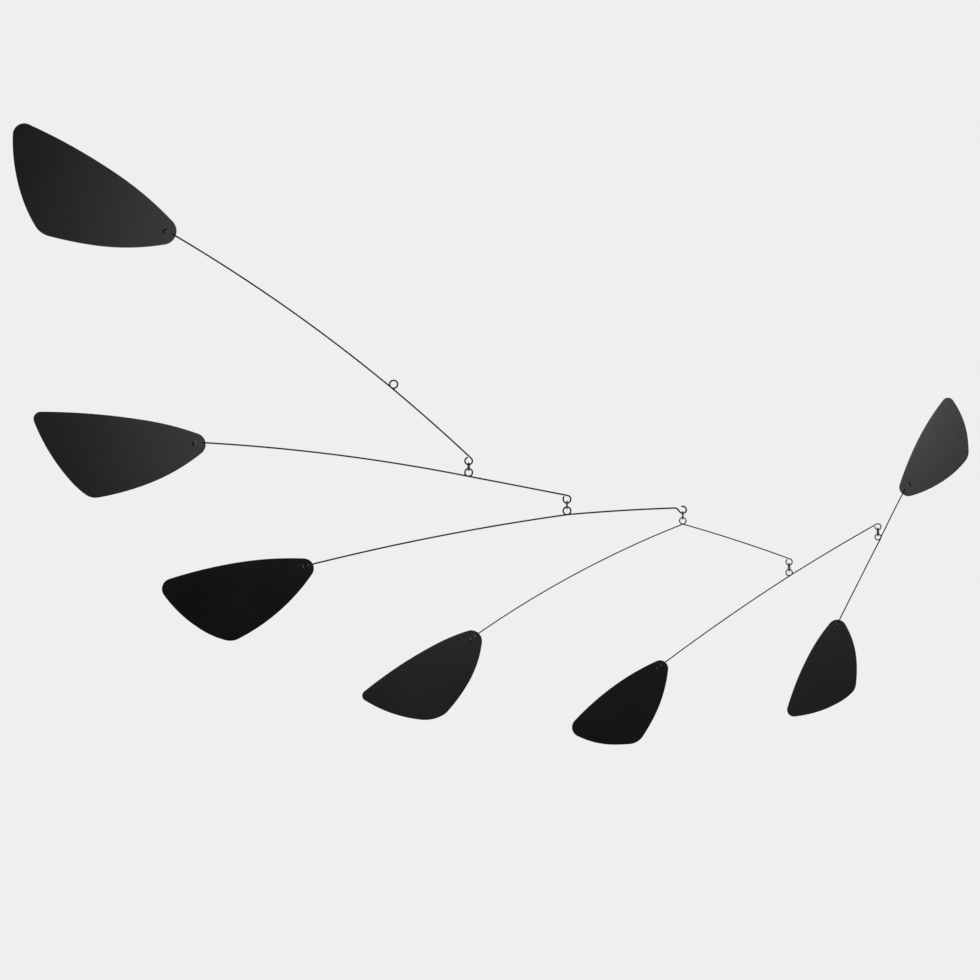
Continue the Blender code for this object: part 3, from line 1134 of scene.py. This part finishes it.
@dataclass
class Arm:
    """One arm: its wire, the leaf or leaves on it and the ring that hangs in its tail.

    Crowding sets a side's points closer together towards the loop.  Cut ease is a share of the
    gauge.  Cut profile gives, in cut eases, how far in from a cut end each of its stations lies
    and how much thinner the wire is there.  Ring split is the gap between a ring's two cut ends,
    ring offset how far they are out of line, and ring start how far round they lie, in radians.
    """

    number: int
    sizes: ArmSizes
    origin: Vector
    stock: Stock = Stock()
    thread: Thread = Thread()
    loop_steps: int = 72
    eye_steps: int = 56
    dip_steps: int = 10
    bend_steps: int = 8
    side_steps: int = 64
    crowding: float = 1.6
    wire_sides: int = 24
    cut_ease: float = 0.18
    cut_profile: tuple[tuple[float, float], ...] = ((0.0, 2.0), (0.3, 0.9), (1.0, 0.0))
    ring_steps: int = 96
    ring_split: float = 0.00006
    ring_offset: float = 0.00012
    ring_start: float = 1.25

    @property
    def body(self) -> str:
        """The body that the arm's pieces ride on."""
        return f"arm_{self.number}"

    @property
    def gauge(self) -> float:
        """The diameter of the arm's wire."""
        return self.sizes.gauge.value

    def side_end(self, side: Side) -> tuple[Vector, float]:
        """Find where a side of the arm ends.

        Args:
            side: The arm's leaf side or its tail side.

        Returns:
            The end, from the loop's centre, and the wire's heading there in degrees.
        """
        turn = 90.0 if side is self.sizes.leaf_side else -90.0
        start = self.sizes.loop_radius * direction(side.heading + turn)
        return run(start, side, 1)[-1], side.heading + side.turn

    def leaf_place(self, side: Side, leaf: Leaf) -> Matrix:
        """Work out a leaf's own frame, with X along the wire, Y across it and Z to the back.

        Args:
            side: The side of the arm that ends in the leaf.
            leaf: The leaf.

        Returns:
            The frame, from the loop's centre.
        """
        end, heading = self.side_end(side)
        along = Vector((direction(heading).x, 0.0, direction(heading).y))
        behind = Vector((0.0, 1.0, 0.0))
        turned = Matrix((along, behind.cross(along), behind)).transposed().to_4x4()
        twist = Matrix.Rotation(math.radians(leaf.twist), 4, "X")
        return Matrix.Translation((end.x, 0.0, end.y)) @ turned @ twist

    def loop_and_sides(self) -> list[Vector]:
        """The wire's line from the end of the leaf side round the loop to the end of the tail.

        Returns:
            The points, with the loop's crossing spread out and both sides back in line after it.
        """
        sizes = self.sizes
        first = sizes.leaf_side.heading + 90.0 - 360.0
        last = sizes.tail_side.heading - 90.0 + 360.0
        loop = arc(Vector((0.0, 0.0)), sizes.loop_radius, first, last, self.loop_steps)
        offset = 0.5 * (self.gauge + self.stock.crossing_gap)
        turns = in_space(loop)
        for i, point in enumerate(turns):
            point.y = offset * (2.0 * i / self.loop_steps - 1.0)
        sides = []
        for side, start, depth in (
            (sizes.leaf_side, loop[0], -offset),
            (sizes.tail_side, loop[-1], offset),
        ):
            points = in_space(run(start, side, self.side_steps, self.crowding))
            distance = 0.0
            for before, point in zip(points[:1] + points, points):
                distance += (Vector((point.x, point.z)) - Vector((before.x, before.z))).length
                spread = min(distance / self.stock.crossing_fade, 1.0)
                point.y = depth * 0.5 * (1.0 + math.cos(math.pi * spread))
            sides.append(points)
        return sides[0][:0:-1] + turns + sides[1][1:]

    def threaded_end(self, leaf: Leaf, place: Matrix) -> list[Vector]:
        """The wire's end in a leaf: in at one hole, along behind, out at the other and aside.

        Args:
            leaf: The leaf.
            place: The leaf's own frame.

        Returns:
            The points from the leaf's edge to the cut end.
        """
        thread = self.thread
        bend = 0.5 * self.gauge + thread.bend_extra
        depth = self.stock.sheet + self.gauge + 2.0 * self.stock.contact_gap
        steps = self.bend_steps
        first, second = thread.first_hole, thread.second_hole
        line = arc(Vector((first - bend, bend)), bend, -90.0, 0.0, steps)
        line += arc(Vector((first + bend, depth - bend)), bend, 180.0, 90.0, steps)
        line += arc(Vector((second - bend, depth - bend)), bend, 90.0, 0.0, steps)
        line += arc(Vector((second + bend, bend)), bend, 180.0, 270.0, steps)
        points = in_space(line)
        hook = arc(Vector((second + bend, -bend)), bend, 90.0, 90.0 - thread.tail_turn, steps)[1:]
        hook.append(hook[-1] + thread.tail_length * direction(-thread.tail_turn))
        hand = leaf.hand.value
        points += [Vector((point.x, point.y * hand, 0.0)) for point in hook]
        return [place @ point for point in points]

    def tail_line(self) -> list[Vector]:
        """Draw the eye or hook at the tail's end.

        An eye's cut end stops just short of the wire that it was turned from.

        Returns:
            The points that follow the tail side's own, from the loop's centre.
        """
        end, heading = self.side_end(self.sizes.tail_side)
        tail = self.sizes.tail
        if isinstance(tail, Eye):
            inside = tail.radius - 0.5 * self.gauge - self.stock.contact_gap
            turn = 360.0 - math.degrees(math.acos(inside / (tail.radius + 0.5 * self.gauge)))
            centre = end + tail.radius * direction(heading - 90.0)
            start = heading + 90.0
            return in_space(arc(centre, tail.radius, start, start - turn, self.eye_steps)[1:])
        above = heading + 90.0
        dip_centre = end + tail.dip_radius * direction(heading - 90.0)
        dip = arc(dip_centre, tail.dip_radius, above, above - tail.dip_turn, self.dip_steps)[1:]
        down = heading - tail.dip_turn
        foot = dip[-1] + tail.drop_length * direction(down)
        curl_centre = foot + tail.radius * direction(down + 90.0)
        start = down - 90.0
        curl = arc(curl_centre, tail.radius, start, start + tail.curl, self.eye_steps)
        return in_space(dip + curl)

    def wire_line(self) -> list[Vector]:
        """Draw the whole wire's centre line in place.

        Returns:
            The points from the end in the leaf to the tail's end.
        """
        sizes = self.sizes
        place = self.leaf_place(sizes.leaf_side, sizes.leaf)
        line = self.threaded_end(sizes.leaf, place)[::-1] + self.loop_and_sides()
        if isinstance(sizes.tail, Leaf):
            place = self.leaf_place(sizes.tail_side, sizes.tail)
            line += self.threaded_end(sizes.tail, place)
        else:
            line += self.tail_line()
        return [self.origin + point for point in line]

    def wire_path(self) -> Mesh:
        """The wire's line as a chain of edges, tapered over its last touch at each cut end.

        Returns:
            The chain, with a taper attribute on its points.
        """
        line = self.wire_line()
        ease = self.cut_ease * self.gauge
        taper = [1.0] * len(line)
        for at_start in (True, False):
            tip, inner = (line[0], line[1]) if at_start else (line[-1], line[-2])
            inward = (inner - tip).normalized()
            extra = [tip + along * ease * inward for along, _ in self.cut_profile]
            shares = [1.0 - drop * self.cut_ease for _, drop in self.cut_profile]
            if at_start:
                line, taper = extra + line[1:], shares + taper[1:]
            else:
                line, taper = line[:-1] + extra[::-1], taper[:-1] + shares[::-1]
        path = bpy.data.meshes.new(f"{self.body}_line")
        path.from_pydata(line, [(i, i + 1) for i in range(len(line) - 1)], [])
        path.attributes.new("taper", "FLOAT", "POINT").data.foreach_set("value", taper)
        return path

    def attach(self, piece: Object, node: str) -> None:
        """Put a finished piece in place of its plain solid, on this arm's body.

        Args:
            piece: The finished piece.
            node: The node of its plain solid.
        """
        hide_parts(node)
        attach(piece, self.body)
        log.info("%s: %d faces on %s", piece.name, len(piece.data.polygons), self.body)

    def build_wire(self, sweep: WireSweep, finish: Material) -> None:
        """Sweep the arm's wire.

        Args:
            sweep: The tree that sweeps wires.
            finish: The wire's material.
        """
        values = {"Gauge": self.gauge, "Sides": self.wire_sides, "Finish": finish}
        piece = sweep.apply(f"spring_wire_{self.number}", self.wire_path(), values)
        self.attach(piece, f"arm_wire_{self.number}")

    def build_leaves(self, finish: Material) -> None:
        """Cut the arm's leaf, and the second one if its tail carries one.

        Args:
            finish: The sheet's material.
        """
        sizes = self.sizes
        held = [(sizes.leaf_side, sizes.leaf)]
        if isinstance(sizes.tail, Leaf):
            held.append((sizes.tail_side, sizes.tail))
        for number, (side, leaf) in enumerate(held, start=self.number):
            place = Matrix.Translation(self.origin) @ self.leaf_place(side, leaf)
            sheet = LeafSheet(f"leaf_sheet_{number}", leaf, self.gauge, place)
            self.attach(sheet.build(finish), f"leaf_{number}")

    def build_ring(self, sweep: RingSweep, finish: Material) -> None:
        """Turn up the split ring that hangs in the arm's tail.

        Args:
            sweep: The tree that turns up rings.
            finish: The ring's material.
        """
        node = f"link_ring_{self.number}"
        low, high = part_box(node)
        centre = bpy.data.meshes.new(f"{node}_centre")
        centre.from_pydata([0.5 * (low + high)], [], [])
        values = {
            "Radius": 0.5 * (self.stock.ring_bore + self.stock.ring_wire),
            "Gauge": self.stock.ring_wire,
            "Split": self.ring_split,
            "Offset": self.ring_offset,
            "Start": self.ring_start,
            "Turn": math.radians(self.sizes.ring_turn),
            "Sides": self.wire_sides,
            "Steps": self.ring_steps,
            "Finish": finish,
        }
        self.attach(sweep.apply(f"split_ring_{self.number}", centre, values), node)


# ---- Studio ----


class Tint(Enum):
    """Colours of the soft lights."""

    NEUTRAL = (1.0, 1.0, 1.0)
    COOL = (0.985, 0.98, 1.045)


@dataclass(frozen=True)
class Softbox:
    """A rectangular soft light that the camera doesn't see.

    Place is its middle, power is in watts, and aim is the direction that it shines in.
    """

    name: str
    place: tuple[float, float, float]
    width: float
    height: float
    power: float
    tint: Tint = Tint.NEUTRAL
    aim: tuple[float, float, float] = (0.0, 1.0, 0.0)

    def build(self) -> None:
        """Hang the light and turn it the way that it's aimed."""
        data = bpy.data.lights.new(self.name, "AREA")
        data.shape = "RECTANGLE"
        data.size = self.width
        data.size_y = self.height
        data.energy = self.power
        data.color = self.tint.value
        lamp = add_object(self.name, data)
        lamp.location = self.place
        lamp.rotation_euler = Vector(self.aim).to_track_quat("-Z", "Y").to_euler()
        lamp.visible_camera = False


@dataclass
class Studio:
    """A pale floor, soft light and the camera, around the mobile's box.

    View width is what the camera takes in at the mobile's distance, and aim shift how far it
    stands across and up from the middle of the box.  Pale is how bright the backdrop is to the
    camera.  The shades are how bright the room is to the pieces: flag shade in front of the
    mobile, side shade beside it and backdrop shade behind it.  The limits give, as the Y part of
    a direction into the room, where one shade starts to turn into the next and where it has.
    """

    box: tuple[Vector, Vector]
    view_width: float = 0.98
    camera_distance: float = 2.0
    aim_shift: tuple[float, float] = (-0.0004, -0.0559)
    sensor: float = 36.0
    pale: float = 0.864
    flag_shade: float = 0.03
    side_shade: float = 0.20
    backdrop_shade: float = 0.80
    side_limits: tuple[float, float] = (-0.94, -0.80)
    rear_limits: tuple[float, float] = (0.10, 0.95)
    floor_height: float = -2.3
    floor_radius: float = 2.4
    floor_sides: int = 96
    softboxes: tuple[Softbox, ...] = (
        Softbox("left_softbox", (-0.35, -2.4, 0.31), 0.64, 1.08, 4.10, Tint.COOL),
        Softbox("right_softbox", (0.32, -2.4, 0.34), 0.91, 0.40, 8.05),
        Softbox("side_fill", (0.78, -2.4, -0.245), 0.24, 0.18, 0.40),
        Softbox("low_fill", (0.35, -2.4, -0.65), 0.95, 0.17, 0.40, Tint.COOL),
        Softbox("floor_wash", (0.0, 0.0, -1.5), 3.6, 3.6, 38.0, aim=(0.0, 0.0, -1.0)),
    )

    def build_camera(self) -> None:
        """Set the camera level with the mobile and straight in front of it."""
        middle = 0.5 * (self.box[0] + self.box[1])
        data = bpy.data.cameras.new("camera")
        data.sensor_width = self.sensor
        data.lens = self.sensor * self.camera_distance / self.view_width
        camera = add_object("camera", data)
        across, up = self.aim_shift
        camera.location = (middle.x + across, -self.camera_distance, middle.z + up)
        camera.rotation_euler = (0.5 * math.pi, 0.0, 0.0)
        bpy.context.scene.camera = camera

    def build_floor(self) -> None:
        """Lay a round floor well below the mobile."""
        mesh = bmesh.new()
        sides, radius = self.floor_sides, self.floor_radius
        bmesh.ops.create_circle(mesh, cap_ends=True, segments=sides, radius=radius)
        data = bpy.data.meshes.new("floor")
        mesh.to_mesh(data)
        mesh.free()
        data.materials.append(PaleFloor().material())
        floor = add_object("floor", data)
        floor.location = (0.0, 0.0, self.floor_height)

    def build_surroundings(self) -> None:
        """Set the mobile against even pale light, in a room that is dark in front of it."""
        world = bpy.data.worlds.new("studio")
        world.use_nodes = True
        bpy.context.scene.world = world
        graph = Graph(world.node_tree)
        rays = graph.node("ShaderNodeLightPath")
        towards = graph.out(graph.node("ShaderNodeTexCoord"), "Generated")
        split = graph.node("ShaderNodeSeparateXYZ", None, {"Vector": towards})
        facing = graph.number(split, "Y")
        side = graph.ramp(facing, self.side_limits)
        rear = graph.ramp(facing, self.rear_limits)
        shade = (
            self.flag_shade
            + (self.side_shade - self.flag_shade) * side
            + (self.backdrop_shade - self.side_shade) * rear
        )
        light = partial(graph.node, "ShaderNodeBackground", None)
        backdrop = graph.out(light({"Color": grey(self.pale), "Strength": 1.0}))
        reflected = graph.out(light({"Color": grey(1.0), "Strength": shade}))
        inputs = {0: graph.out(rays, "Is Camera Ray"), 1: reflected, 2: backdrop}
        both = graph.node("ShaderNodeMixShader", None, inputs)
        graph.node("ShaderNodeOutputWorld", None, {"Surface": graph.out(both)})

    def build(self) -> None:
        """Set up the whole studio."""
        self.build_camera()
        self.build_floor()
        self.build_surroundings()
        for softbox in self.softboxes:
            softbox.build()
        bpy.context.scene.view_settings.view_transform = "Standard"
        log.info("studio: %d softboxes, floor at %.2f m", len(self.softboxes), self.floor_height)


# ---- The mobile ----


def arm_origins() -> list[Vector]:
    """Work out where each arm's loop has its centre.

    Returns:
        The centres, from the top arm down.
    """
    top = ARMS[0]
    origins = [Vector((0.0, 0.0, 0.5 * top.gauge.value - top.loop_radius))]
    pivots = {joint["child"]: Vector(joint["pos_m"]) for joint in frame["joints"]}
    for number in range(2, len(ARMS) + 1):
        origins.append(pivots[f"arm_{number}"])
    return origins


def main() -> None:
    """Build the studio and the mobile, and report each piece."""
    logging.basicConfig(level=logging.INFO, format="%(name)s: %(message)s")
    Studio(SOLIDS_BOX).build()
    sheet, spring, link = (kind.material() for kind in (SHEET_FINISH, WIRE_FINISH, RING_FINISH))
    wires, rings = WireSweep(), RingSweep()
    for number, (sizes, origin) in enumerate(zip(ARMS, arm_origins()), start=1):
        arm = Arm(number, sizes, origin)
        arm.build_wire(wires, spring)
        arm.build_leaves(sheet)
        if not isinstance(sizes.tail, Leaf):
            arm.build_ring(rings, link)


if __name__ == "__main__":
    main()
